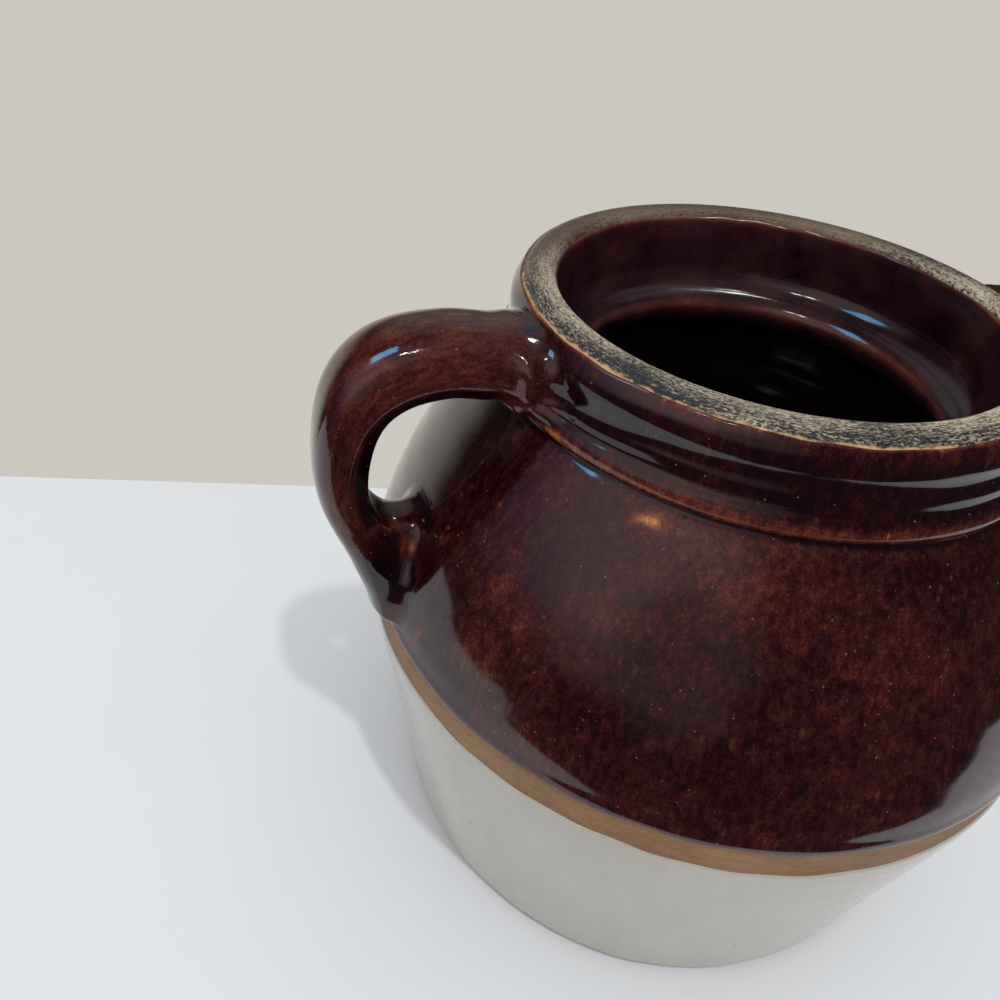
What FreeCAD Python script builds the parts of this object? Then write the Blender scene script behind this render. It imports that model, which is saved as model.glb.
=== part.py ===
import FreeCAD, Part
import Sketcher
import math
import os

# Two-handled stoneware bean pot, in millimetres.
# Origin: centre of the foot, on the surface that the pot stands on. +Z is up,
# and the two handles lie along +X and -X.
#
# The fired clay is one outside form less one inside form, parted at the level
# where the collar is luted to the shoulder. The glazes are thin coats on those
# forms. Each handle is a pulled strap between two wads of luting clay.

SIZES = {
    # foot and lower wall
    "foot_radius": 77.6,
    "foot_bevel": 1.6,
    "floor_thickness": 8.0,
    "floor_round": 14.0,
    "wall_thickness": 6.5,
    # belly, the widest part
    "belly_height": 78.0,
    "belly_rise": 12.0,
    "belly_edge_radius": 89.6,
    "belly_round": 60.0,
    # shoulder, up to the level where the collar is joined on
    "joint_height": 141.0,
    "shoulder_round": 128.0,
    "cavity_shoulder_round": 58.0,
    # collar, with the ridge of clay pushed up around its joint
    "collar_radius": 61.6,
    "collar_height": 20.5,
    "ridge_foot": 1.0,
    "ridge_rise": 5.0,
    "ridge_round": 2.9,
    # rim
    "rim_taper": 2.0,
    "rim_edge_drop": 1.4,
    "rim_edge_width": 2.6,
    "rim_edge_round": 2.4,
    "rim_face_width": 3.6,
    "rim_lip_drop": 1.6,
    "rim_lip_width": 1.4,
    "rim_lip_round": 2.0,
    # inside of the neck: the seat for a lid, which narrows to the throat
    "neck_thickness": 10.4,
    "seat_rise": 7.0,
    "seat_width": 3.6,
    "seat_round": 7.0,
    "throat_step": 4.0,
    "throat_drop": 3.4,
    "throat_round": 5.0,
    "throat_depth": 5.1,
    "throat_undercut": 3.4,
    # coats of glaze, and the bare clay band between them
    "glaze_thickness": 0.5,
    "band_rise": 4.4,
    "band_width": 8.4,
    "foot_bare_height": 2.4,
    # handle: centre line of the strap
    "handle_drop": 10.7,
    "handle_stand_off": 10.6,
    "handle_bend_radius": 20.0,
    "handle_bow": 0.9,
    "handle_lean": 15.5,
    "upper_root_gap": 6.4,
    "lower_root_rise": 28.0,
    "lower_root_gap": 5.6,
    # handle: width across the strap, and its thickness
    "strap_upper_width": 21.5,
    "strap_upper_thickness": 16.5,
    "strap_bend_width": 21.5,
    "strap_bend_thickness": 15.6,
    "strap_lower_width": 21.5,
    "strap_lower_thickness": 11.0,
    # luting wads: how their clay spreads towards the wall
    "upper_wad_width": 31.0,
    "upper_wad_thickness": 22.0,
    "upper_wad_drop": 2.6,
    "upper_wad_bite": 3.5,
    "lower_wad_fill": 5.5,
    "lower_wad_width": 27.0,
    "lower_wad_thickness": 6.0,
    "lower_wad_rise": 0.6,
    "lower_wad_bite": 2.6,
}

# Headings at which cross-sections of the strap stand around its bend, in degrees.
BEND_HEADINGS = [0, 30, 60, 90]

# Shares of a way from one section of the handle to the next. The strap has tapered by
# a share of its taper where its bend ends, and by another midway down the run below.
BEND_END_TAPER = 0.4
MIDWAY = 0.54
MIDWAY_TAPER = 0.75
# The upper wad widens late: by this share of its flare halfway to the wall.
UPPER_WAD_FLARE = 0.3
# Places down the lower wad, each with the share of its fill that stands there.
LOWER_WAD_FILLS = [(0.3, 1.0), (0.65, 0.7)]

# The side of the pot that each handle is on, as a turn about Z in degrees.
HANDLE_TURNS = {"right": 0.0, "left": 180.0}

doc = FreeCAD.newDocument("bean_pot")
sheet = doc.addObject("Spreadsheet::Sheet", "sizes")
for row, (name, value) in enumerate(SIZES.items(), start=1):
    sheet.set(f"A{row}", name)
    sheet.set(f"B{row}", str(value))
    sheet.setAlias(f"B{row}", name)
doc.recompute()


def bound(expression):
    """Write the sizes in an expression as cells of the sheet."""
    words = expression.replace("(", "( ").replace(")", " )").split(" ")
    return " ".join(f"sizes.{word}" if word in SIZES else word for word in words)


def value_of(expression):
    """The number that an expression gives."""
    return float(sheet.evalExpression(expression))


def new_sketch(body, name, role):
    """Sketch on one of the origin planes of its own body."""
    planes = {plane.Role: plane for plane in body.Origin.OriginFeatures}
    sketch = body.newObject("Sketcher::SketchObject", name)
    sketch.AttachmentSupport = [(planes[role], "")]
    sketch.MapMode = "FlatFace"
    return sketch


def hold(sketch, kind, places, expression):
    """Constrain a sketch to a size of the sheet."""
    constraint = Sketcher.Constraint(kind, *places, value_of(expression))
    index = sketch.addConstraint(constraint)
    sketch.setExpression(f"Constraints[{index}]", bound(expression))


# ---------------------------------------------------------------- turned forms

def bulged(start, end, radius, side):
    """Arc between two points. On an outline that is drawn upwards, side 1
    bulges away from the axis and side -1 towards it."""
    chord = end - start
    across = FreeCAD.Vector(chord.y, -chord.x, 0).normalize()
    height = radius - math.sqrt(radius ** 2 - (chord.Length / 2) ** 2)
    crown = (start + end) * 0.5 + across * height * side
    return Part.Arc(start, crown, end)


def turned_form(name, outline):
    """Solid turned about Z. Each corner of the outline is (radius, height), and
    one with (arc radius, side) after it starts an arc instead of a line."""
    body = doc.addObject("PartDesign::Body", name)
    sketch = new_sketch(body, f"{name}_outline", "XZ_Plane")
    points = [FreeCAD.Vector(value_of(radius), value_of(height), 0)
              for radius, height, *_ in outline]
    for index, (_, _, *arc) in enumerate(outline):
        start, end = points[index], points[(index + 1) % len(points)]
        if arc:
            sketch.addGeometry(bulged(start, end, value_of(arc[0]), arc[1]))
        else:
            sketch.addGeometry(Part.LineSegment(start, end))
    # An arc keeps the direction that it was given, but may be stored from its other end.
    starts = []
    for index, point in enumerate(points):
        first = sketch.getPoint(index, 1)
        starts.append(1 if first.distanceToPoint(point) < 1e-6 else 2)
    for index, (radius, height, *arc) in enumerate(outline):
        following = (index + 1) % len(points)
        sketch.addConstraint(Sketcher.Constraint(
            "Coincident", index, 3 - starts[index], following, starts[following]))
        for kind, expression, axis in (("DistanceX", radius, -2), ("DistanceY", height, -1)):
            if expression == "0":
                sketch.addConstraint(Sketcher.Constraint(
                    "PointOnObject", index, starts[index], axis))
            else:
                hold(sketch, kind, (-1, 1, index, starts[index]), expression)
        if arc:
            hold(sketch, "Radius", (index,), arc[0])
    turn = body.newObject("PartDesign::Revolution", f"{name}_turn")
    turn.Profile = sketch
    turn.ReferenceAxis = (sketch, ["V_Axis"])
    turn.Angle = 360
    return body


BARE = "0"
GLAZED = "glaze_thickness"
BELLY_LOW = "belly_height - belly_rise"
BELLY_HIGH = "belly_height + belly_rise"
RIM_HEIGHT = "( joint_height + collar_height )"
RIM_RADIUS = "( collar_radius - rim_taper )"
RIM_FACE_OUTER = f"( {RIM_RADIUS} - rim_edge_width )"
RIM_FACE_INNER = f"( {RIM_FACE_OUTER} - rim_face_width )"
SEAT_WALL_RADIUS = "( collar_radius - neck_thickness )"
SEAT_EDGE_RADIUS = f"( {SEAT_WALL_RADIUS} - seat_width )"
THROAT_RADIUS = f"( {SEAT_EDGE_RADIUS} - throat_step )"
THROAT_HEIGHT = "( joint_height - throat_drop )"
BAND_TOP = "( belly_height + band_rise )"
CAVITY_CORNER_HEIGHT = "floor_thickness + floor_round"
CAVITY_CORNER_RADIUS = (
    "foot_radius - wall_thickness + ( belly_edge_radius - foot_radius )"
    f" * ( {CAVITY_CORNER_HEIGHT} - foot_bevel ) / ( {BELLY_LOW} - foot_bevel )")

def outside_outline(coat):
    """The pot's outside from the middle of the foot to the middle of the mouth,
    with a coat of glaze on its side."""
    return [
        ("0", "0"),
        (f"foot_radius - foot_bevel + {coat}", "0"),
        (f"foot_radius + {coat}", "foot_bevel"),
        (f"belly_edge_radius + {coat}", BELLY_LOW, "belly_round", 1),
        (f"belly_edge_radius + {coat}", BELLY_HIGH, "shoulder_round", 1),
        (f"collar_radius + ridge_foot + {coat}", "joint_height", "ridge_round", 1),
        (f"collar_radius + {coat}", "joint_height + ridge_rise"),
        (f"{RIM_RADIUS} + {coat}", f"{RIM_HEIGHT} - rim_edge_drop", "rim_edge_round", 1),
        (f"{RIM_FACE_OUTER} + {coat}", RIM_HEIGHT),
        ("0", RIM_HEIGHT),
    ]


def inside_outline(coat):
    """The pot's inside from the middle of the floor to the middle of the mouth,
    with a coat of glaze on its floor and side."""
    corner = f"{CAVITY_CORNER_RADIUS} - {coat}"
    wall = f"belly_edge_radius - wall_thickness - {coat}"
    return [
        ("0", f"floor_thickness + {coat}"),
        (f"{corner} - floor_round", f"floor_thickness + {coat}", "floor_round", 1),
        (corner, f"{CAVITY_CORNER_HEIGHT} + {coat}"),
        (wall, BELLY_LOW, "belly_round", 1),
        (wall, BELLY_HIGH, "cavity_shoulder_round", 1),
        (f"{THROAT_RADIUS} + throat_undercut - {coat}", f"{THROAT_HEIGHT} - throat_depth",
         "throat_round", -1),
        (f"{THROAT_RADIUS} - {coat}", THROAT_HEIGHT, "throat_round", -1),
        (f"{SEAT_EDGE_RADIUS} - {coat}", "joint_height", "seat_round", 1),
        (f"{SEAT_WALL_RADIUS} - {coat}", "joint_height + seat_rise"),
        (f"{RIM_FACE_INNER} - rim_lip_width - {coat}", f"{RIM_HEIGHT} - rim_lip_drop",
         "rim_lip_round", -1),
        (f"{RIM_FACE_INNER} - {coat}", RIM_HEIGHT),
        ("0", RIM_HEIGHT),
    ]


outside_form = turned_form("outside_form", outside_outline(BARE))
inside_form = turned_form("inside_form", inside_outline(BARE))
glazed_outside_form = turned_form("glazed_outside_form", outside_outline(GLAZED))
glazed_inside_form = turned_form("glazed_inside_form", inside_outline(GLAZED))


# ------------------------------------------------------------- boolean helpers

def combine(kind, name, base, tool):
    """Part::Cut or Part::Common of two objects."""
    result = doc.addObject(kind, name)
    result.Base = base
    result.Tool = tool
    return result


def level_block(name, low, high):
    """Block wider than the pot, between two heights."""
    block = doc.addObject("Part::Cylinder", name)
    block.setExpression("Radius", bound("2 * belly_edge_radius"))
    block.setExpression("Height", bound(f"{high} - ( {low} )"))
    block.setExpression("Placement.Base.z", bound(low))
    return block


# ------------------------------------------------------------------------ clay

clay = combine("Part::Cut", "clay", outside_form, inside_form)
above_joint = level_block("above_joint", "joint_height", f"2 * {RIM_HEIGHT}")
pot_body = combine("Part::Cut", "pot_body", clay, above_joint)
collar = combine("Part::Common", "collar", clay, above_joint)


# --------------------------------------------------------------------- handles

HANDLE_HEIGHT = f"( {RIM_HEIGHT} - handle_drop )"
HANDLE_REACH = "( belly_edge_radius + handle_stand_off )"
BEND_END_HEIGHT = f"( {HANDLE_HEIGHT} - handle_bend_radius )"
UPPER_ROOT_REACH = "( collar_radius + upper_root_gap )"
LOWER_ROOT_HEIGHT = "( belly_height + lower_root_rise )"
LOWER_ROOT_REACH = "( belly_edge_radius + lower_root_gap )"
LEAN_HEADING = "90 + handle_lean"


def on_bend(heading):
    """Reach and height of the strap's centre line where it bends down."""
    return (f"{HANDLE_REACH} - handle_bend_radius * ( 1 - sin( {heading} ) )",
            f"{BEND_END_HEIGHT} + handle_bend_radius * cos( {heading} )")


def on_lean(height):
    """Reach, at a height, of the line on which the strap leans back to the wall."""
    return f"{LOWER_ROOT_REACH} - ( {LOWER_ROOT_HEIGHT} - ( {height} ) ) * tan( handle_lean )"


def oval(body, name, reach, height, heading, width, thickness):
    """Oval cross-section of a strap. The heading is the angle by which the
    strap has turned down from level where this section stands."""
    sketch = new_sketch(body, name, "YZ_Plane")
    half_width = FreeCAD.Vector(value_of(width) / 2, 0, 0)
    half_thickness = FreeCAD.Vector(0, value_of(thickness) / 2, 0)
    sketch.addGeometry(Part.Ellipse(half_width, half_thickness, FreeCAD.Vector(0, 0, 0)))
    sketch.exposeInternalGeometry(0)
    sketch.addConstraint(Sketcher.Constraint("Coincident", 0, 3, -1, 1))
    sketch.addConstraint(Sketcher.Constraint("Horizontal", 1))
    hold(sketch, "Distance", (1,), width)
    hold(sketch, "Distance", (2,), thickness)
    sketch.AttachmentOffset = FreeCAD.Placement(
        FreeCAD.Vector(0, 0, 0), FreeCAD.Rotation(FreeCAD.Vector(1, 0, 0), value_of(heading)))
    sketch.setExpression("AttachmentOffset.Base.y", bound(height))
    sketch.setExpression("AttachmentOffset.Base.z", bound(reach))
    sketch.setExpression("AttachmentOffset.Rotation.Angle", bound(heading))
    return sketch


def lofted(name, turn, sections):
    """Solid through ovals, turned about Z to its side of the pot."""
    body = doc.addObject("PartDesign::Body", name)
    body.Placement.Rotation = FreeCAD.Rotation(FreeCAD.Vector(0, 0, 1), turn)
    ovals = [oval(body, f"{name}_section_{index}", *section)
             for index, section in enumerate(sections)]
    loft = body.newObject("PartDesign::AdditiveLoft", f"{name}_loft")
    loft.Profile = ovals[0]
    loft.Sections = ovals[1:]
    return body


def between(start, end, share):
    """Size that lies a share of the way from one size to another."""
    return f"{start} + ( {end} - ( {start} ) ) * {share}"


def strap_size(end, other_end, share):
    """Width and thickness of the strap, a share of the way between two of its places."""
    return [between(f"strap_{end}_{part}", f"strap_{other_end}_{part}", share)
            for part in ("width", "thickness")]


UPPER_END = (UPPER_ROOT_REACH, HANDLE_HEIGHT, "0",
             "strap_upper_width", "strap_upper_thickness")
LOWER_END = (LOWER_ROOT_REACH, LOWER_ROOT_HEIGHT, LEAN_HEADING,
             "strap_lower_width", "strap_lower_thickness")


def strap_sections():
    """Level run from the collar, the bend, and the bowed run back to the wall."""
    *around_bend, bend_end = [(*on_bend(heading), str(heading)) for heading in BEND_HEADINGS]
    return [
        UPPER_END,
        *((*place, "strap_bend_width", "strap_bend_thickness") for place in around_bend),
        (*bend_end, *strap_size("bend", "lower", BEND_END_TAPER)),
        (f"{between(HANDLE_REACH, LOWER_ROOT_REACH, MIDWAY)} + handle_bow",
         between(BEND_END_HEIGHT, LOWER_ROOT_HEIGHT, MIDWAY), LEAN_HEADING,
         *strap_size("bend", "lower", MIDWAY_TAPER)),
        LOWER_END,
    ]


def upper_wad_sections():
    """From the strap's upper end, flaring into the wall of the collar."""
    reach = f"{RIM_RADIUS} - upper_wad_bite"
    height = f"{HANDLE_HEIGHT} - upper_wad_drop"
    return [
        UPPER_END,
        (f"( {UPPER_ROOT_REACH} + {reach} ) / 2",
         between(HANDLE_HEIGHT, height, UPPER_WAD_FLARE), "0",
         between("strap_upper_width", "upper_wad_width", UPPER_WAD_FLARE),
         between("strap_upper_thickness", "upper_wad_thickness", UPPER_WAD_FLARE)),
        (reach, height, "0", "upper_wad_width", "upper_wad_thickness"),
    ]


def lower_wad_sections():
    """From the strap's lower end, filling the crook against the shoulder, then
    thinning out into the wall above the band."""
    height = f"{BAND_TOP} + lower_wad_rise"
    sections = [LOWER_END]
    for along, fill in LOWER_WAD_FILLS:
        level = between(LOWER_ROOT_HEIGHT, height, along)
        sections.append((
            f"{on_lean(level)} - lower_wad_fill * {fill} / 2", level, LEAN_HEADING,
            between("strap_lower_width", "lower_wad_width", along),
            f"strap_lower_thickness + lower_wad_fill * {fill}"))
    sections.append(("belly_edge_radius - lower_wad_bite", height, LEAN_HEADING,
                     "lower_wad_width", "lower_wad_thickness"))
    return sections


pieces = [pot_body, collar]
blanks = []
wads = []
for side, turn in HANDLE_TURNS.items():
    pieces.append(lofted(f"{side}_handle", turn, strap_sections()))
    for end, sections in (("upper", upper_wad_sections()), ("lower", lower_wad_sections())):
        blank = lofted(f"{side}_{end}_blank", turn, sections)
        blanks.append(blank)
        wads.append(combine("Part::Cut", f"{side}_{end}_luting", blank, outside_form))
pieces.extend(wads)


# ---------------------------------------------------------------------- glazes

def coat(name, larger, smaller, low, high):
    """What lies between two forms, from one height to another."""
    skin = combine("Part::Cut", f"{name}_skin", larger, smaller)
    return combine("Part::Common", name, skin, level_block(f"{name}_levels", low, high))


all_blanks = doc.addObject("Part::MultiFuse", "all_blanks")
all_blanks.Shapes = blanks
brown_all_round = coat("brown_all_round", glazed_outside_form, outside_form,
                       BAND_TOP, f"{RIM_HEIGHT} - rim_edge_drop")
pieces.append(combine("Part::Cut", "outer_brown_glaze", brown_all_round, all_blanks))
pieces.append(coat("lower_white_glaze", glazed_outside_form, outside_form,
                   "foot_bare_height", f"{BAND_TOP} - band_width"))
pieces.append(coat("inside_glaze", inside_form, glazed_inside_form,
                   "0", f"{RIM_HEIGHT} - rim_lip_drop"))


# ------------------------------------------------------------ check and export

doc.recompute()
for item in doc.Objects:
    if "Invalid" in item.State or "Error" in item.State:
        raise RuntimeError(f"{item.Label} did not build: {item.State}")

os.makedirs("parts", exist_ok=True)
for piece in pieces:
    shape = piece.Shape
    if shape.isNull() or not shape.isValid() or not shape.Solids:
        raise RuntimeError(f"{piece.Label} is not a sound solid")
    print(f"{piece.Label}: {len(shape.Solids)} solid, {shape.Volume / 1000:.2f} cm3")
    shape.exportStep(f"parts/{piece.Label}.step")
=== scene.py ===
import math

import bmesh
import bpy
import numpy as np
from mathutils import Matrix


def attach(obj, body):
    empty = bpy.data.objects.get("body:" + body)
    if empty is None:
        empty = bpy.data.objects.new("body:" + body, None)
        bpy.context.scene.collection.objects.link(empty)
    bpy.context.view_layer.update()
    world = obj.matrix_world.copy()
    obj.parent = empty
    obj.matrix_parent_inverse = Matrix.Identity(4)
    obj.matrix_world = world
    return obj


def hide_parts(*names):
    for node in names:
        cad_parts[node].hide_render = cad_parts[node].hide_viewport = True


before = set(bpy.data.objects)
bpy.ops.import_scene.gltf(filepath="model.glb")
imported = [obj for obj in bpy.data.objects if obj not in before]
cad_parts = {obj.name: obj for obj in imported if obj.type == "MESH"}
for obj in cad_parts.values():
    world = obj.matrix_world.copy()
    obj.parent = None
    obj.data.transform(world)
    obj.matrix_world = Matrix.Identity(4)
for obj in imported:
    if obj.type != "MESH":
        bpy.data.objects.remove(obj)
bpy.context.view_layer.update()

import openvdb
from mathutils import Matrix, Vector

# Two-handled stoneware bean pot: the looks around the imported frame. Shapes are worked out
# in millimetres in the frame's own axes, and written to the meshes in metres.
# Every object sits at the origin, so one texture runs on from piece to piece.

MM = 0.001
rng = np.random.default_rng(7)


# ---- sizes

FOOT_RADIUS = 77.6
FOOT_BEVEL = 1.6
FLOOR_THICKNESS = 8.0
FLOOR_ROUND = 14.0
WALL = 6.5
BELLY_EDGE_RADIUS = 89.6
BELLY_HEIGHT = 78.0
BELLY_RISE = 12.0
BELLY_ROUND = 60.0
SHOULDER_ROUND = 128.0
CAVITY_SHOULDER_ROUND = 58.0
JOINT_HEIGHT = 141.0
RIDGE_DEPTH = 1.0
RIDGE_HEIGHT = 5.0
RIDGE_ROUND = 2.9
COLLAR_RADIUS = 61.6
COLLAR_DRAFT = 0.2
COLLAR_SHOULDER = 7.5
COLLAR_ROUND = 24.0
RIM_HEIGHT = 161.5
RIM_RADIUS = 59.6
RIM_BEVEL = 1.4
RIM_ROUND = 2.4
RIM_INNER_BEVEL = 1.6
RIM_INNER_ROUND = 2.0
RIM_FACE_OUTER = 57.0
RIM_FACE_INNER = 53.4
SEAT_WALL_RADIUS = 51.2
SEAT_WALL_HEIGHT = 7.0
SEAT_WALL_ROUND = 7.0
SEAT_EDGE_RADIUS = 47.6
SEAT_ROUND = 5.0
THROAT_RADIUS = 43.6
THROAT_HEIGHT = 137.6
THROAT_FLARE = 3.4
THROAT_FLARE_DROP = 5.1
CAVITY_FOOT_RADIUS = 74.9
FLOOR_RADIUS = 60.9

GLAZE = 0.5
BEDDING = 0.3
BAND_TOP = 82.4
BAND_BOTTOM = 74.0
FOOT_BARE = 2.4


# ---- outlines

OUTSIDE = [
    (0, 0),
    (FOOT_RADIUS - FOOT_BEVEL, 0),
    (FOOT_RADIUS, FOOT_BEVEL),
    (BELLY_EDGE_RADIUS, BELLY_HEIGHT - BELLY_RISE, BELLY_ROUND, 1),
    (BELLY_EDGE_RADIUS, BELLY_HEIGHT + BELLY_RISE, SHOULDER_ROUND, 1),
    (COLLAR_RADIUS + RIDGE_DEPTH, JOINT_HEIGHT, RIDGE_ROUND, 1),
    (COLLAR_RADIUS, JOINT_HEIGHT + RIDGE_HEIGHT),
    (COLLAR_RADIUS - COLLAR_DRAFT, RIM_HEIGHT - COLLAR_SHOULDER, COLLAR_ROUND, 1),
    (RIM_RADIUS, RIM_HEIGHT - RIM_BEVEL, RIM_ROUND, 1),
    (RIM_FACE_OUTER, RIM_HEIGHT),
    (RIM_FACE_INNER, RIM_HEIGHT, RIM_INNER_ROUND, 1),
    (RIM_FACE_INNER - RIM_BEVEL, RIM_HEIGHT - RIM_INNER_BEVEL),
    (SEAT_WALL_RADIUS, JOINT_HEIGHT + SEAT_WALL_HEIGHT, SEAT_WALL_ROUND, -1),
    (SEAT_EDGE_RADIUS, JOINT_HEIGHT, SEAT_ROUND, 1),
    (THROAT_RADIUS, THROAT_HEIGHT, SEAT_ROUND, 1),
    (THROAT_RADIUS + THROAT_FLARE, THROAT_HEIGHT - THROAT_FLARE_DROP, CAVITY_SHOULDER_ROUND, -1),
    (BELLY_EDGE_RADIUS - WALL, BELLY_HEIGHT + BELLY_RISE, BELLY_ROUND, -1),
    (BELLY_EDGE_RADIUS - WALL, BELLY_HEIGHT - BELLY_RISE),
    (CAVITY_FOOT_RADIUS, FLOOR_THICKNESS + FLOOR_ROUND, FLOOR_ROUND, -1),
    (FLOOR_RADIUS, FLOOR_THICKNESS),
    (0, FLOOR_THICKNESS),
]
OUTLINE_STEP = 0.1


def traced(outline):
    """Points along an outline, evenly spaced. A corner (radius, height, round, side)
    starts an arc of that round: side 1 bulges to the right of the way, -1 to the left."""
    runs = []
    for (x, y, *arc), (x2, y2, *_) in zip(outline, outline[1:]):
        start, end = np.array([x, y], float), np.array([x2, y2], float)
        chord = end - start
        length = math.hypot(*chord)
        count = max(2, int(length / OUTLINE_STEP))
        share = np.linspace(0, 1, count, endpoint=False)[:, None]
        if not arc:
            runs.append(start + chord * share)
            continue
        radius, side = arc
        across = np.array([chord[1], -chord[0]]) / length * side
        depth = math.sqrt(radius ** 2 - (length / 2) ** 2)
        centre = (start + end) / 2 - across * depth
        half = math.asin(length / 2 / radius)
        turn = (share * 2 - 1) * half
        runs.append(centre + radius * (np.cos(turn) * across + np.sin(turn) * chord / length))
    runs.append(np.array([[outline[-1][0], outline[-1][1]]], float))
    return np.concatenate(runs)


def softened(points, reach):
    """Outline with its corners rounded over a reach, as clay and glaze leave them."""
    steps = int(3 * reach / OUTLINE_STEP)
    kernel = np.exp(-0.5 * (np.arange(-steps, steps + 1) * OUTLINE_STEP / reach) ** 2)
    kernel /= kernel.sum()
    first, last = points[:1], points[-1:]
    padded = np.concatenate([2 * first - points[steps:0:-1], points,
                             2 * last - points[-2:-steps - 2:-1]])
    return np.stack([np.convolve(padded[:, axis], kernel, "valid") for axis in (0, 1)], 1)


class Outline:
    """A softened outline that can be read at any distance along it."""

    def __init__(self, outline, reach):
        self.points = softened(traced(outline), reach)
        steps = np.diff(self.points, axis=0)
        self.along = np.concatenate([[0], np.cumsum(np.hypot(*steps.T))])
        slope = np.gradient(self.points, self.along, axis=0)
        slope /= np.hypot(*slope.T)[:, None]
        self.outward = np.stack([slope[:, 1], -slope[:, 0]], 1)

    def at(self, along):
        """Radius, height and outward direction at a distance along the outline."""
        columns = (*self.points.T, *self.outward.T)
        return [np.interp(along, self.along, column) for column in columns]

    def where(self, height, inside=False):
        """Distance along the outline at which the outer or inner side has a height."""
        top = int(np.argmax(self.points[:, 1]))
        if inside:
            return float(np.interp(-height, -self.points[top:, 1], self.along[top:]))
        return float(np.interp(height, self.points[:top, 1], self.along[:top]))


clay_line = Outline(OUTSIDE, 0.35)
glaze_line = Outline(OUTSIDE, 0.8)
glaze_line_top = int(np.argmax(glaze_line.points[:, 1]))


# ---- unevenness of the pot

def ripples(count, shortest, longest):
    """Waves in random directions, which add up to a smooth unevenness of about 1."""
    heading = rng.normal(size=(count, 3))
    heading /= np.linalg.norm(heading, axis=1)[:, None]
    length = np.exp(rng.uniform(math.log(shortest), math.log(longest), count))
    return heading * (2 * math.pi / length)[:, None], rng.uniform(0, 2 * math.pi, count)


LUMPS = ripples(14, 22, 70)
DIMPLES = ripples(22, 6, 14)


def uneven(waves, points):
    """Sum of the waves at points in millimetres."""
    directions, phases = waves
    return np.sin(points @ directions.T + phases).sum(-1) / math.sqrt(len(phases) / 2)


# Swellings and grooves that the potter's fingers left round the collar, as (height, half
# width, how far it stands out), each first at the left handle and then a little on from it.
COLLAR_RINGS = [
    ((157.0, 2.3, 0.42), (158.0, 2.1, 0.46)), ((151.0, 2.4, -0.42), (152.2, 2.2, -0.50)),
    ((155.0, 0.8, 0.0), (155.2, 0.8, 0.17)), ((148.3, 0.8, 0.08), (149.6, 0.7, 0.16)),
    ((146.6, 0.6, -0.10), (147.0, 0.7, -0.12)), ((140.9, 0.7, -0.32), (140.9, 0.7, -0.32)),
]
RING_TURN = math.radians(152)


def smooth_step(value, low, high):
    """0 below a range and 1 above it, with a soft rise between."""
    share = np.clip((value - low) / (high - low), 0, 1)
    return share * share * (3 - 2 * share)


def throwing_rings(height, angle):
    """Rings that the potter's fingers left: faint on the shoulder, plain on the collar."""
    onward = smooth_step(np.sin(angle + RING_TURN), -0.1, 0.25)
    rings = 0.02 * np.sin(height * 2 * math.pi / 9.7 + 0.8)
    for first, second in COLLAR_RINGS:
        centre, width, depth = (a + (b - a) * onward for a, b in zip(first, second))
        centre = centre + 0.15 * np.sin(3 * angle + first[0])
        rings = rings + depth * np.exp(-((height - centre) / width) ** 2)
    return rings


def wobble(points):
    """How far the pot's outside stands out from its true turned form, in millimetres."""
    angle = np.arctan2(points[..., 1], points[..., 0])
    return (0.10 * np.cos(2 * angle + 0.7) + 0.09 * uneven(LUMPS, points)
            + 0.008 * uneven(DIMPLES, points) + throwing_rings(points[..., 2], angle))


# ---- thin glaze, marks

# Rusty marks in the brown glaze, and one of painted shade, as (place, half length, half
# width, strength). Each runs down the pot, as the glaze did.
RUST_AND_SHADE_MARKS = [
    ((-48.6, -44.6, 138.0), 1.2, 2.3, 0.50), ((-50.4, -42.6, 137.2), 0.9, 1.2, 0.4),
    ((-87.3, -21.6, 90.7), 3.4, 1.2, 0.26), ((-81.1, -33.2, 100.1), 5.0, 2.4, 0.12),
    ((-79.4, -36.7, 98.3), 5.0, 2.2, 0.12), ((-77.0, -41.5, 99.4), 6.0, 3.0, 0.12),
    ((-72.5, -33.8, 118.3), 7.0, 3.0, 0.10), ((-70.4, -41.9, 114.4), 6.0, 3.0, 0.10),
    ((-63.0, -46.4, 121.6), 4.0, 2.6, 0.11), ((-59.0, -50.7, 122.3), 5.0, 3.0, 0.11),
    ((-81.2, -14.0, 113.7), 3.0, 1.2, 0.24), ((-30.0, -58.0, 133.0), 14.0, 24.0, 0.08),
    ((-59.4, -11.4, 156.5), 2.0, 0.7, 0.5),
    ((-94.0, -6.6, 111.6), 0.9, 2.0, 0.26), ((-90.0, -5.8, 110.2), 0.8, 2.8, 0.22),
    ((-87.9, -7.2, 104.5), 5.0, 1.2, 0.30), ((-85.8, -7.8, 103.0), 5.5, 0.9, 0.56),
    # The mark of negative strength is painted shade on the strap's near edge, in the crook over
    # the belly.
    ((-60.4, -20.0, 143.0), 1.0, 2.4, 0.22), ((-92.6, -9.0, 101.5), 9.0, 4.4, -0.34),
]


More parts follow.
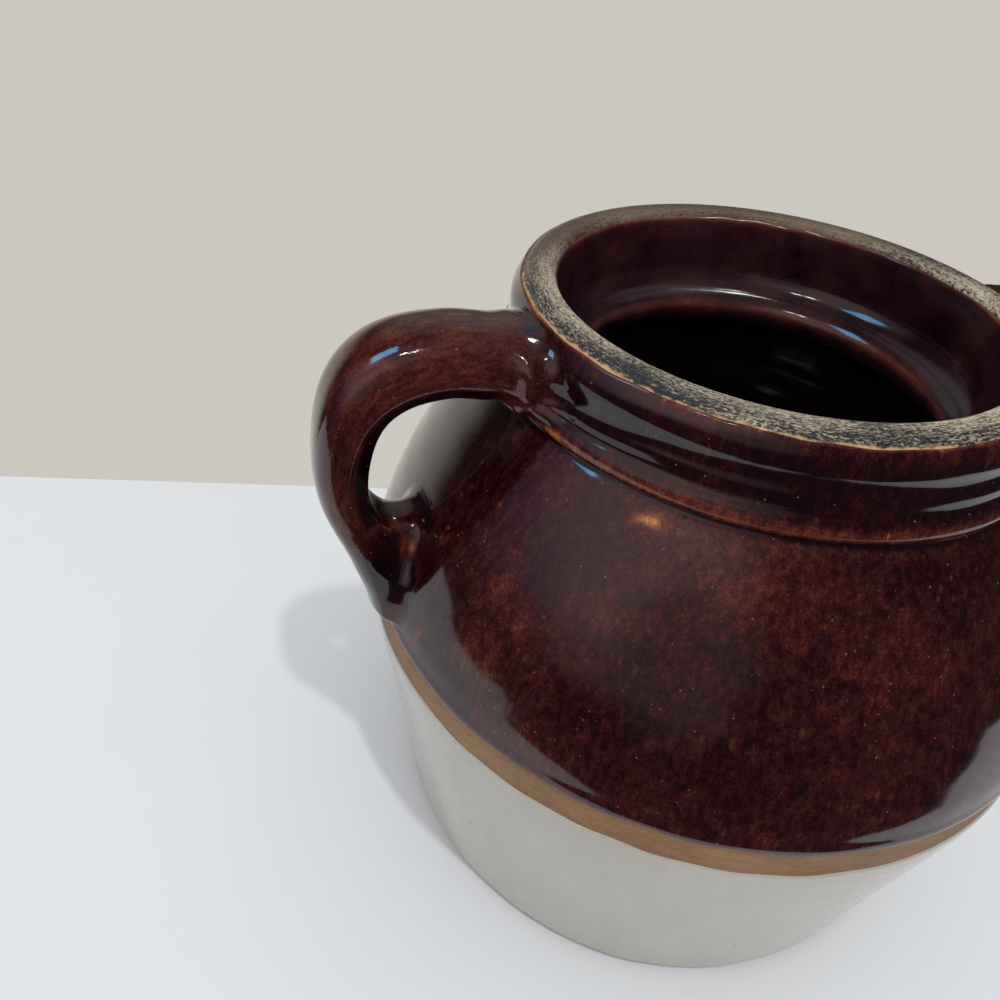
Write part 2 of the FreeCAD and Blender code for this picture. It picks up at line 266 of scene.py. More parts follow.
def thin_glaze_and_shade(points):
    """How thin the glaze lies at points in millimetres: on edges, on the handles, in marks, with
    painted shade in the groove under the ridge and in one dark mark.
    """
    radius, height = np.hypot(points[:, 0], points[:, 1]), points[:, 2]
    lively = 1 + 0.35 * uneven(DIMPLES, points)
    outside = smooth_step(radius, 54, 57)
    body = np.interp(height, glaze_line.points[:glaze_line_top, 1],
                     glaze_line.points[:glaze_line_top, 0])
    outside_wall = outside * (1 - smooth_step(radius - body, 0.6, 1.6))
    thin = 0.085 * outside * smooth_step(radius - body, 0.8, 6.0)
    far = smooth_step(np.sin(np.arctan2(points[:, 1], points[:, 0]) + RING_TURN), -0.15, 0.2)
    thin += (0.24 - 0.10 * far) * outside_wall * np.exp(
        -((height - 143.0) / (1.2 + 1.0 * far)) ** 2) * (1 + 0.15 * lively)
    # Painted shade: darker glaze along the groove under the ridge.
    thin -= 0.30 * outside_wall * np.exp(-((height - 140.9) / 0.6) ** 2)
    thin += 0.30 * outside_wall * lively * smooth_step(height, 159.5, 160.6)
    thin -= 0.12 * outside_wall * smooth_step(height, 143.8, 145.5) * (
        1 - smooth_step(height, 157.5, 159.5))
    thin += 0.35 * (1 - outside) * smooth_step(height, 158.2, 160.0)
    thin += 0.34 * smooth_step(-radius, -47.0, -44.5) * (0.8 + 0.2 * lively) * np.exp(
        -((height - 138.6) / 1.1) ** 2)
    for place, length, width, strength in RUST_AND_SHADE_MARKS:
        way = points - np.array(place)
        along, across = way[:, 2] / length, np.hypot(way[:, 0], way[:, 1]) / width
        thin += strength * np.exp(-along ** 2 - across ** 2)
    return thin


def mark(mesh, handle=None):
    """Keeps on a mesh, for its material, how thin the glaze lies, with painted shade darkening it
    in places, and which way it ran.
    """
    flat = np.empty(len(mesh.vertices) * 3)
    mesh.vertices.foreach_get("co", flat)
    where = flat.reshape(-1, 3) / MM
    thin, flow = thin_glaze_and_shade(where), where * [1, 1, 0.45]
    if handle is not None:
        # Painted shade: the strap's face towards the pot is made darker, less where the glaze
        # breaks thin.
        thin = thin - 0.40 * handle.inner_face_shade(where) * (1 - smooth_step(thin, 0.2, 0.45))
        flow = handle.flow(where)
    # The rust layer carries this painted shade along with the thin glaze.
    layer = mesh.attributes.new("rust", "FLOAT", "POINT")
    layer.data.foreach_set("value", thin.astype(np.float32))
    layer = mesh.attributes.new("flow", "FLOAT_VECTOR", "POINT")
    layer.data.foreach_set("vector", (flow * MM).astype(np.float32).ravel())


# ---- mesh building

def new_object(name, data):
    """Object in the scene for a mesh, a lamp or a camera."""
    made = bpy.data.objects.new(name, data)
    bpy.context.scene.collection.objects.link(made)
    return made


def new_piece(name, vertices, faces, material, node):
    """Smooth mesh in metres that stands for a CAD node and takes its material slot."""
    mesh = bpy.data.meshes.new(name)
    mesh.from_pydata((np.asarray(vertices) * MM).tolist(), [], faces)
    mesh.materials.append(material)
    mesh.shade_smooth()
    mark(mesh)
    piece = new_object(name, mesh)
    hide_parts(node)
    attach(piece, "root")
    return piece


def turned_faces(rows, columns, first, wrap):
    """Quads between rows of points round the axis, the vertices starting at first."""
    faces = []
    for row in range(rows if wrap else rows - 1):
        lower, upper = first + row * columns, first + (row + 1) % rows * columns
        for column in range(columns):
            following = (column + 1) % columns
            faces.append((lower + column, lower + following, upper + following, upper + column))
    return faces


def turned(name, rings, material, node, poles=None):
    """Closed mesh from rings of points. Rings join last to first, or end in two poles."""
    rows, columns, _ = rings.shape
    vertices = rings.reshape(-1, 3)
    faces = turned_faces(rows, columns, 0, wrap=poles is None)
    if poles is not None:
        start, end = len(vertices), len(vertices) + 1
        vertices = np.concatenate([vertices, np.array(poles, float)])
        last = (rows - 1) * columns
        for column in range(columns):
            following = (column + 1) % columns
            faces.append((start, following, column))
            faces.append((end, last + column, last + following))
    return new_piece(name, vertices, faces, material, node)


def edge_rows(length, step):
    """Shares of the way across a strip that crowd together at both of its edges."""
    lip = np.array([0, 0.02, 0.06, 0.12, 0.2, 0.3, 0.42, 0.6, 0.85])
    middle = np.arange(1.2, length - 1.2, step)
    return np.concatenate([lip, middle, length - lip[::-1]]) / length


def placed(line, along, angle, offset):
    """Points on a turned form: distances along its outline, angles and outward offsets."""
    radius, height, outward_r, outward_z = line.at(along)
    radius = radius + outward_r * offset
    height = height + outward_z * offset
    ring = np.broadcast_arrays(radius * np.cos(angle), radius * np.sin(angle), height)
    return np.stack(ring, -1)


def pushed_out(points):
    """Points of the turned form, moved out by the pot's unevenness."""
    outward = points[..., :2] / np.maximum(np.linalg.norm(points[..., :2], axis=-1), 1)[..., None]
    moved = points.copy()
    moved[..., :2] += outward * wobble(points)[..., None]
    return moved


def around(columns):
    """Even angles round the pot."""
    return np.linspace(0, 2 * math.pi, columns, endpoint=False)


def coat(line, start, end, thickness, columns, step, open_end=False, lip=0.55, backing=14):
    """Rings of a coat of glaze, those of its face from start to end and those of its back
    from end to start. Both are distances along the outline at each angle."""
    angle = around(columns)[None, :]
    low, high = start(angle[0])[None, :], end(angle[0])[None, :]
    share = edge_rows(float((high - low).mean()), step)[:, None]
    along = low + (high - low) * share
    from_edge = along - low if open_end else np.minimum(along - low, high - along)
    rounded = np.sqrt(np.clip(1 - (1 - np.clip(from_edge / lip, 0, 1)) ** 2, 0, 1))
    face = placed(line, along, angle, rounded * thickness(along, angle))
    back_share = np.linspace(1, 0, backing)[:, None]
    back = placed(line, low + (high - low) * back_share, angle, np.full((backing, 1), -BEDDING))
    return face, back


# ---- handles

# Centre line of the strap, as (distance from the axis, height), from inside the collar's
# wall to inside the belly's wall, with its drift to the side (towards -Y on the left).
STRAP_LINE = [(54.7, 151.6, 4.2), (68.5, 151.9, 2.4), (79.6, 151.7, 0.0), (89.9, 148.6, -1.6),
              (96.9, 141.8, -2.2), (100.4, 131.2, -2.2), (100.6, 117.9, -1.4),
              (95.2, 102.3, -0.1), (90.3, 84.7, 0.9)]
# Widths and thicknesses at even steps from the collar to the belly.
STRAP_WIDTHS = [24.0, 20.9, 21.7, 21.7, 20.8, 18.5]
STRAP_THICKNESSES = [15.0, 16.0, 16.2, 12.9, 10.6, 8.8]
PATCH_STEP = 0.5
PATCH_LOW = np.array([-112.0, -27.0, 74.0])
PATCH_HIGH = np.array([-46.0, 27.0, 164.0])
BURIED = 2.0
# Distance from the axis at which the luting clay swells round the upper root.
ROOT_SWELLING = 65.2
# Luting clay that fills the crook between the strap's tail and the belly to a saddle.
CROOK_CENTRE = (-0.3, 102.6)
CROOK_SIZE = (7.8, 8.4)
CROOK_LOW = 88.0
CROOK_REACH = (84.0, 96.0)
CROOK_POWER = 2.4
# Roundness of the strap's outer face, and of its flatter face towards the pot.
OUTER_POWER = 2.5
INNER_POWER = 3.8
# How much the tail thins out where it was drawn down onto the belly.
TAIL_THINNING = 0.4
# Heights, and how far the luting clay reaches round the strap at each.
BLEND_HEIGHTS = [92, 97, 102, 106, 113, 119, 138, 143, 148]
BLENDS = [6.5, 6.0, 4.2, 3.6, 3.8, 3.0, 1.9, 2.4, 6.5]
# The strap's edges next to the pot: their slant, and how deep they were thumbed off.
SLANT = (math.cos(math.radians(42)), math.sin(math.radians(42)))
SLANT_DEPTH = 3.3
# Clay smeared in under the upper root, as (reach, across, height, radii that way).
WADS = [(64.6, 10.5, 144.6, 2.6, 3.0, 2.4),
        (61.8, 13.4, 145.4, 2.4, 2.8, 2.0), (66.4, 8.4, 145.0, 1.6, 2.2, 1.8),
        (64.2, -9.5, 144.6, 2.6, 3.2, 2.4)]


def curve_through(knots, count):
    """Smooth curve through knots (Catmull-Rom), with its ends run straight on."""
    knots = np.asarray(knots, float)
    knots = np.concatenate([[2 * knots[0] - knots[1]], knots, [2 * knots[-1] - knots[-2]]])
    spans = len(knots) - 3
    where = np.linspace(0, spans, count)
    span = np.minimum(where.astype(int), spans - 1)
    t = (where - span)[:, None]
    a, b, c, d = (knots[span + shift] for shift in range(4))
    return 0.5 * (2 * b + (c - a) * t + (2 * a - 5 * b + 4 * c - d) * t ** 2
                  + (3 * b - a - 3 * c + d) * t ** 3)


class Plane:
    """Tables over a half plane through the axis, for the wall and for one strap."""

    LOW, HIGH, STEP = np.array([40.0, 66.0]), np.array([120.0, 172.0]), 0.25

    def __init__(self):
        self.radii = np.arange(self.LOW[0], self.HIGH[0], self.STEP)
        self.heights = np.arange(self.LOW[1], self.HIGH[1], self.STEP)
        self.cells = np.stack(np.meshgrid(self.radii, self.heights, indexing="ij"), -1)

    def nearest(self, line):
        """Index of the nearest point of a line, and the way to it, from each cell."""
        cells = self.cells.reshape(-1, 2)
        best = np.empty(len(cells), int)
        for part in np.array_split(np.arange(len(cells)), 60):
            gap = ((cells[part, None] - line[None]) ** 2).sum(-1)
            best[part] = gap.argmin(1)
        return best, cells - line[best]

    def read(self, table, radius, height):
        """Reads a table between its cells."""
        column = np.clip((radius - self.LOW[0]) / self.STEP, 0, table.shape[0] - 1.001)
        row = np.clip((height - self.LOW[1]) / self.STEP, 0, table.shape[1] - 1.001)
        i, j = column.astype(int), row.astype(int)
        u, v = column - i, row - j
        return ((table[i, j] * (1 - u) + table[i + 1, j] * u) * (1 - v)
                + (table[i, j + 1] * (1 - u) + table[i + 1, j + 1] * u) * v)


plane = Plane()


def wall_table():
    """Signed distance to the pot's glazed outside over the half plane."""
    outer = (glaze_line.points[:, 1] > 60) & (glaze_line.points[:, 0] > 40)
    outer &= np.arange(len(outer)) <= int(np.argmax(glaze_line.points[:, 1]))
    points = glaze_line.points[outer] + glaze_line.outward[outer] * GLAZE
    index, way = plane.nearest(points)
    side = (way * glaze_line.outward[outer][index]).sum(-1)
    distance = np.where(side >= 0, 1, -1) * np.hypot(*way.T)
    return distance.reshape(plane.cells.shape[:2])


class Handle:
    """One pulled strap with its luting clay, as a field that is negative inside."""

    def __init__(self, side, knots, widths, thicknesses):
        self.side = side
        line = curve_through(knots, 600)
        tangent = np.gradient(line[:, :2], axis=0)
        tangent /= np.hypot(*tangent.T)[:, None]
        outward = np.stack([-tangent[:, 1], tangent[:, 0]], 1)
        share = np.linspace(0, 1, len(line))
        steps = np.linspace(0, 1, 200)
        half_width, half_depth = (
            np.interp(share, steps, curve_through(np.array(sizes)[:, None], 200)[:, 0]) / 2
            for sizes in (widths, thicknesses))
        index, way = plane.nearest(line[:, :2])
        shape = plane.cells.shape[:2]
        self.depth = (way * outward[index]).sum(-1).reshape(shape)
        past = np.abs((way * tangent[index]).sum(-1))
        self.past = np.where((index == 0) | (index == len(line) - 1), past, 0).reshape(shape)
        self.drift = line[index, 2].reshape(shape)
        length = np.concatenate([[0], np.cumsum(np.hypot(*np.diff(line[:, :2], axis=0).T))])
        self.length = length[index].reshape(shape)
        self.half_width = half_width[index].reshape(shape)
        self.half_depth = half_depth[index].reshape(shape)

    def read(self, points, *tables):
        """Reads tables over the handle's half plane at points in millimetres."""
        return [plane.read(table, points[:, 0] * self.side, points[:, 2]) for table in tables]

    def inner_face_shade(self, points):
        """1 on the strap's face towards the pot, where painted shade darkens the glaze."""
        depth, half_depth = self.read(points, self.depth, self.half_depth)
        loop = smooth_step(points[:, 0] * self.side, 69, 74) * smooth_step(points[:, 2], 109, 118)
        return loop * smooth_step(-depth / half_depth, 0.30, 0.60)

    def flow(self, points):
        """Places drawn out along the strap, the way its glaze ran."""
        depth, length = self.read(points, self.depth, self.length)
        return np.stack([points[:, 1], depth, 0.35 * length], 1)

    def strap(self, points):
        """Distance from the strap's skin."""
        reach = points[:, 0] * self.side
        depth, past, drift, half_width, half_depth = self.read(
            points, self.depth, self.past, self.drift, self.half_width, self.half_depth)
        across = points[:, 1] * self.side - drift
        # The outer face is round, and the face towards the pot is flat with firmer edges.
        power = np.where(depth > 0, OUTER_POWER, INNER_POWER)
        x, y = np.abs(across) / half_width, np.abs(depth) / half_depth
        x, y = np.maximum(x, 1e-4), np.maximum(y, 1e-4)
        level = (x ** power + y ** power) ** (1 / power)
        slope = np.hypot((x / level) ** (power - 1) / half_width,
                         (y / level) ** (power - 1) / half_depth)
        section = (level - 1) / slope
        # The edges next to the pot were thumbed off at a slant.
        cut = SLANT_DEPTH * smooth_step(points[:, 2], 93, 104)
        slant = (np.abs(across) * SLANT[0] - depth * SLANT[1]
                 - half_width * SLANT[0] - half_depth * SLANT[1] + cut)
        section = -melted(-section, -slant, 0.5)
        # The luting clay swells round the upper root, most of all on its sides.
        low = 1 - 0.85 * smooth_step(points[:, 2], 153.5, 158)
        section = section - low * (2.2 * np.exp(-((reach - ROOT_SWELLING) / 2.0) ** 2)
                                   - 0.30 * np.exp(-((reach - ROOT_SWELLING - 4.4) / 1.4) ** 2))
        section = section + TAIL_THINNING * smooth_step(-points[:, 2], -100, -90)
        return np.where(past > 0, np.hypot(np.maximum(section, 0), past) + np.minimum(section, 0),
                        section)

    def wall(self, points):
        """Distance from the pot's glazed outside."""
        radius = np.hypot(points[:, 0], points[:, 1])
        return plane.read(wall_field, radius - wobble(points), points[:, 2])

    def crook(self, points):
        """Distance from the clay that fills the crook below the finger loop."""
        reach, across = points[:, 0] * self.side, points[:, 1] * self.side
        wide = np.abs(across - CROOK_CENTRE[0]) / CROOK_SIZE[0]
        tall = np.maximum(points[:, 2] - CROOK_CENTRE[1], 0) / CROOK_SIZE[1]
        level = (wide ** CROOK_POWER + tall ** CROOK_POWER) ** (1 / CROOK_POWER)
        filled = (level - 1) * CROOK_SIZE[0]
        low, high = CROOK_REACH
        leaning = high - 0.26 * np.maximum(110.0 - points[:, 2], 0)
        return np.maximum.reduce([filled, CROOK_LOW - points[:, 2], low - reach,
                                  reach - leaning])

    def fill(self, points):
        """Distance from the wads of luting clay under the upper root."""
        where = np.stack([points[:, 0] * self.side, points[:, 1] * self.side, points[:, 2]], 1)
        nearest = np.full(len(points), 99.0)
        for *centre, reach, across, height in WADS:
            radii = np.array([reach, across, height])
            level = np.linalg.norm((where - centre) / radii, axis=1)
            nearest = melted(nearest, (level - 1) * min(radii), 0.8)
        return nearest

    def skin(self, points, wall):
        """The strap run together with the wall by its luting clay."""
        strap = self.strap(points)
        strap = melted(strap, self.fill(points), 1.6)
        strap = melted(strap, self.crook(points), 5.0)
        blend = np.interp(points[:, 2], BLEND_HEIGHTS, BLENDS)
        blend = blend * np.interp(points[:, 2], [153, 159.5], [1, 0.14])
        joined = melted(strap, wall, blend)
        away = np.clip((strap - blend) / 6.0, 0, 1)
        above = np.clip((points[:, 2] - 159.4) / 1.6, 0, 1)
        below = np.clip((86.8 - points[:, 2]) / 4.6, 0, 1)
        return joined + 2.4 * BURIED * (away ** 2 + above ** 2 + below ** 2)

    def field(self, points):
        """The whole handle, down to where it is buried in the wall."""
        wall = self.wall(points)
        return np.maximum(self.skin(points, wall), -(wall + BURIED))


def melted(a, b, blend):
    """Smaller of two distances, with a fillet where they are alike."""
    near = np.maximum(blend - np.abs(a - b), 0) / blend
    return np.minimum(a, b) - near ** 2 * blend / 4


def slope_of(field, points, reach=0.04):
    """Direction in which a field rises."""
    slope = np.empty_like(points)
    for axis in range(3):
        step = np.zeros(3)
        step[axis] = reach
        slope[:, axis] = field(points + step) - field(points - step)
    return slope / (2 * reach)


def meshed(field, low, high, step):
    """Quads on the zero level of a field, with their points moved right onto it."""
    axes = [np.arange(a, b, step) for a, b in zip(low, high)]
    grid = np.stack(np.meshgrid(*axes, indexing="ij"), -1).reshape(-1, 3)
    values = np.concatenate([field(part) for part in np.array_split(grid, 24)])
    volume = openvdb.FloatGrid(background=float(step * 6))
    volume.copyFromArray(values.reshape([len(axis) for axis in axes]).astype(np.float32))
    points, quads = volume.convertToQuads(isovalue=0.0)
    points = np.asarray(points, float) * step + low
    for _ in range(3):
        slope = slope_of(field, points)
        size = (slope ** 2).sum(1)
        shift = (field(points) / np.maximum(size, 0.25))[:, None] * slope
        points -= np.clip(shift, -step * 0.4, step * 0.4)
    return points, quads


wall_field = wall_table()

UPPER_CUT = (68.0, 150.8, 0.0)
LOWER_CUT = (95.2, 106.0, 105.5)


def cut_off(mesh, cut, side, beyond):
    """Keeps what lies before or beyond a plane across the strap, and closes the cut."""
    reach, height, heading = cut
    turn = math.radians(heading)
    normal = (side * math.cos(turn), 0, -math.sin(turn))
    bmesh.ops.bisect_plane(mesh, geom=mesh.verts[:] + mesh.edges[:] + mesh.faces[:],
                           plane_co=(side * reach, 0, height), plane_no=normal,
                           clear_inner=beyond, clear_outer=not beyond)
    rim = [edge for edge in mesh.edges if edge.is_boundary]
    for face in bmesh.ops.edgeloop_fill(mesh, edges=rim)["faces"]:
        face.smooth = False


def handle_pieces(word, handle, material):
    """The strap and its luting clay above and below, cut from one run-together form."""
    low, high = PATCH_LOW.copy(), PATCH_HIGH.copy()
    if handle.side > 0:
        low[:2], high[:2] = -PATCH_HIGH[:2], -PATCH_LOW[:2]
    points, quads = meshed(handle.field, low, high, PATCH_STEP)
    whole = bmesh.new()
    corners = [whole.verts.new(point) for point in points]
    for quad in quads:
        whole.faces.new([corners[index] for index in quad])
    for face in whole.faces:
        face.smooth = True
    bmesh.ops.recalc_face_normals(whole, faces=whole.faces[:])
    cuts = {"handle": [(UPPER_CUT, True), (LOWER_CUT, False)],
            "upper_luting": [(UPPER_CUT, False), (LOWER_CUT, False)],
            "lower_luting": [(LOWER_CUT, True)]}
    for part, planes in cuts.items():
        mesh = whole.copy()
        for cut, beyond in planes:
            cut_off(mesh, cut, handle.side, beyond)
        name = f"{word}_{part}"
        data = bpy.data.meshes.new(name)
        mesh.to_mesh(data)
        mesh.free()
        where = np.array([vertex.co for vertex in data.vertices])
        slope = slope_of(handle.field, where)
        slope /= np.linalg.norm(slope, axis=1)[:, None]
        normals = [slope[corner] if face.use_smooth else np.array(face.normal)
                   for face in data.polygons for corner in face.vertices]
        data.transform(Matrix.Scale(MM, 4))
        data.normals_split_custom_set(normals)
        data.materials.append(material)
        mark(data, handle)
        piece = new_object(name, data)
        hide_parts(name)
        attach(piece, "root")
    whole.free()


# ---- materials

class Shader:
    """A material's node tree, with short ways to add nodes."""

    def __init__(self, name):
        self.material = bpy.data.materials.new(name)
        self.material.use_nodes = True
        self.tree = self.material.node_tree
        self.surface = self.tree.nodes["Principled BSDF"]
        self.place = self.add("ShaderNodeTexCoord").outputs["Object"]

    def add(self, kind, inputs=None, **settings):
        """Adds a node, and sets or links its inputs."""
        node = self.tree.nodes.new(kind)
        for name, value in settings.items():
            setattr(node, name, value)
        for name, value in (inputs or {}).items():
            self.fill(node.inputs[name], value)
        return node

    def fill(self, socket, value):
        """Links a value to a socket, or sets it there."""
        if isinstance(value, bpy.types.NodeSocket):
            self.tree.links.new(value, socket)
        else:
            socket.default_value = value

    def math(self, operation, first, second=0.0, third=0.0):
        """One sum of the node tree."""
        return self.add("ShaderNodeMath", {0: first, 1: second, 2: third},
                        operation=operation).outputs[0]

    def total(self, start, *parts):
        """A start with shares of values added, the parts as (value, share)."""
        for value, share in parts:
            start = self.math("MULTIPLY_ADD", value, share, start)
        return start

    def noise(self, grain, detail=2.0, roughness=0.5, place=None):
        """Noise with a grain size in millimetres, centred on zero."""
        made = self.add("ShaderNodeTexNoise", {
            "Vector": self.place if place is None else place, "Scale": 1 / (grain * MM),
            "Detail": detail, "Roughness": roughness})
        return self.math("SUBTRACT", made.outputs["Fac"], 0.5)

    def ramp(self, value, stops):
        """Colours for a value, as (value, colour) stops."""
        made = self.add("ShaderNodeValToRGB", {"Fac": value})
        while len(made.color_ramp.elements) < len(stops):
            made.color_ramp.elements.new(0.5)
        for element, (position, colour) in zip(made.color_ramp.elements, stops):
            element.position = position
            element.color = (*colour, 1.0)
        return made.outputs["Color"]

    def span(self, value, low, high, to_low=0.0, to_high=1.0):
        """Value run from one range to another, and kept within it."""
        return self.add("ShaderNodeMapRange", {
            "Value": value, "From Min": low, "From Max": high,
            "To Min": to_low, "To Max": to_high}, interpolation_type="SMOOTHSTEP").outputs[0]

    def mixed(self, share, first, second):
        """One colour with a share of a second one over it."""
        made = self.add("ShaderNodeMix", data_type="RGBA")
        for index, value in ((0, share), (6, first), (7, second)):
            self.fill(made.inputs[index], (*value, 1.0) if isinstance(value, tuple) else value)
        return made.outputs[2]

    def spots(self, spacing, size, share, place=None):
        """Round spots in millimetres, in a share of the cells of a scattered grid."""
        cells = self.add("ShaderNodeTexVoronoi", {
            "Vector": self.place if place is None else place, "Scale": 1 / (spacing * MM)})
        chosen = self.add("ShaderNodeSeparateColor", {"Color": cells.outputs["Color"]})
        picked = self.math("LESS_THAN", chosen.outputs["Red"], share)
        grown = self.math("MULTIPLY_ADD", chosen.outputs["Green"], 0.7, 0.5)
        edge = self.math("MULTIPLY", grown, size / spacing)
        near = self.math("DIVIDE", cells.outputs["Distance"], edge)
        return self.math("MULTIPLY", self.span(near, 1.0, 0.5), picked)

    def attribute(self, name):
        """A number kept on the mesh."""
        return self.add("ShaderNodeAttribute", attribute_name=name).outputs["Fac"]

    def stretched(self, place, amounts):
        """A place drawn out or pressed together along its axes."""
        return self.add("ShaderNodeVectorMath", {0: place, 1: amounts},
                        operation="MULTIPLY").outputs[0]

    def bumped(self, height, distance, onto=None):
        """Bump of a distance in millimetres, on top of another one if given."""
        inputs = {"Height": height, "Distance": distance * MM, "Strength": 1.0}
        if onto is not None:
            inputs["Normal"] = onto
        return self.add("ShaderNodeBump", inputs).outputs["Normal"]

    def finish(self, colour, roughness, normal, **sockets):
        """The material, once its surface's sockets are filled."""
        for name, value in {"Base Color": colour, "Roughness": roughness, "Normal": normal,
                            **sockets}.items():
            self.fill(self.surface.inputs[name], value)
        return self.material


def brown_glaze():
    """Dark iron glaze, which breaks to rust and tan where it lies thin."""
    shader = Shader("brown_glaze")
    flow = shader.add("ShaderNodeAttribute", attribute_name="flow").outputs["Vector"]
    cloud = shader.noise(26.0, 3.0)
    mottle = shader.noise(5.0, 4.0, 0.6)
    runs = shader.noise(1.5, 4.0, 0.65, place=flow)
    grain = shader.noise(0.55, 3.0, 0.75)
    rust = shader.total(shader.math("ADD", shader.attribute("rust"), 0.30),
                        (cloud, 0.34), (mottle, 0.26), (runs, 0.55), (grain, 0.50))
    colour = shader.ramp(rust, [
        (0.0, (0.003, 0.0008, 0.0015)), (0.22, (0.010, 0.0016, 0.0028)),
        (0.38, (0.036, 0.0062, 0.0060)), (0.52, (0.085, 0.019, 0.0105)),
        (0.66, (0.16, 0.046, 0.016)), (0.82, (0.34, 0.12, 0.030)), (1.0, (0.54, 0.26, 0.08))])
    drops = shader.spots(3.0, 0.62, 0.5, place=shader.stretched(flow, (1.0, 1.0, 0.6)))
    where = shader.total(shader.attribute("rust"), (mottle, 0.8))
    drops = shader.math("MULTIPLY", drops, shader.span(where, 0.04, 0.34, 0.10, 0.85))
    colour = shader.mixed(drops, colour, (0.30, 0.095, 0.022))
    specks = shader.spots(2.2, 0.26, 0.6)
    colour = shader.mixed(shader.math("MULTIPLY", specks, 0.45), colour, (0.30, 0.15, 0.09))
    pits = shader.spots(5.5, 0.42, 0.35)
    colour = shader.mixed(pits, colour, (0.004, 0.002, 0.002))
    peel = shader.bumped(shader.noise(3.4, 1.0), 0.012)
    normal = shader.bumped(shader.math("SUBTRACT", 0.0, pits), 0.12, peel)
    roughness = shader.span(rust, 0.3, 1.0, 0.09, 0.24)
    return shader.finish(colour, roughness, normal, IOR=1.58)


def inner_glaze():
    """The same glaze inside the pot, darker and even."""
    shader = Shader("inside_glaze")
    rust = shader.total(shader.math("ADD", shader.attribute("rust"), 0.12),
                        (shader.noise(15.0, 3.0, 0.6), 0.70), (shader.noise(1.0, 3.0, 0.65), 0.20))
    colour = shader.ramp(rust, [
        (0.0, (0.007, 0.002, 0.004)), (0.2, (0.030, 0.009, 0.012)),
        (0.42, (0.072, 0.018, 0.015)), (0.7, (0.22, 0.065, 0.026)), (1.0, (0.42, 0.19, 0.08))])
    pits = shader.spots(6.0, 0.4, 0.3)
    normal = shader.bumped(shader.noise(4.5, 1.0), 0.02)
    normal = shader.bumped(shader.math("SUBTRACT", 0.0, pits), 0.1, normal)
    return shader.finish(colour, 0.11, normal, IOR=1.52)


def white_glaze():
    """Pale grey-white glaze with pinholes, faint runs and specks of iron."""
    shader = Shader("white_glaze")
    cloud = shader.noise(30.0, 3.0)
    runs = shader.noise(7.0, 3.0, 0.6, place=shader.stretched(shader.place, (1.0, 1.0, 0.2)))
    tone = shader.total(0.5, (cloud, 0.5), (runs, 0.45), (shader.noise(0.7, 2.0), 0.18))
    colour = shader.ramp(tone, [
        (0.15, (0.325, 0.307, 0.262)), (0.45, (0.395, 0.375, 0.330)),
        (0.85, (0.45, 0.435, 0.395))])
    pits = shader.spots(8.5, 0.55, 0.30)
    specks = shader.spots(4.2, 0.26, 0.22)
    colour = shader.mixed(shader.math("MULTIPLY", specks, 0.45), colour, (0.24, 0.17, 0.11))
    colour = shader.mixed(shader.math("MULTIPLY", pits, 0.85), colour, (0.16, 0.13, 0.10))
    normal = shader.bumped(shader.noise(4.5, 1.0), 0.03)
    normal = shader.bumped(shader.math("SUBTRACT", 0.0, pits), 0.25, normal)
    return shader.finish(colour, 0.16, normal, IOR=1.5)


def bare_clay():
    """Fired tan clay, with its grain and fine lines drawn round the pot."""
    shader = Shader("stoneware_clay")
    lines = shader.noise(0.8, 3.0, 0.6, place=shader.stretched(shader.place, (0.12, 0.12, 1.0)))
    tone = shader.total(0.5, (shader.noise(16.0, 3.0), 0.45), (lines, 0.5),
                        (shader.noise(0.6, 4.0, 0.7), 0.55))
    colour = shader.ramp(tone, [
        (0.1, (0.10, 0.050, 0.020)), (0.4, (0.205, 0.108, 0.048)),
        (0.65, (0.280, 0.155, 0.072)), (1.0, (0.39, 0.25, 0.14))])
    grit = shader.spots(3.0, 0.4, 0.3)
    colour = shader.mixed(shader.math("MULTIPLY", grit, 0.6), colour, (0.07, 0.035, 0.02))
    normal = shader.bumped(shader.math("ADD", lines, shader.noise(0.5, 3.0, 0.7)), 0.12)
    return shader.finish(colour, 0.62, normal, IOR=1.45)


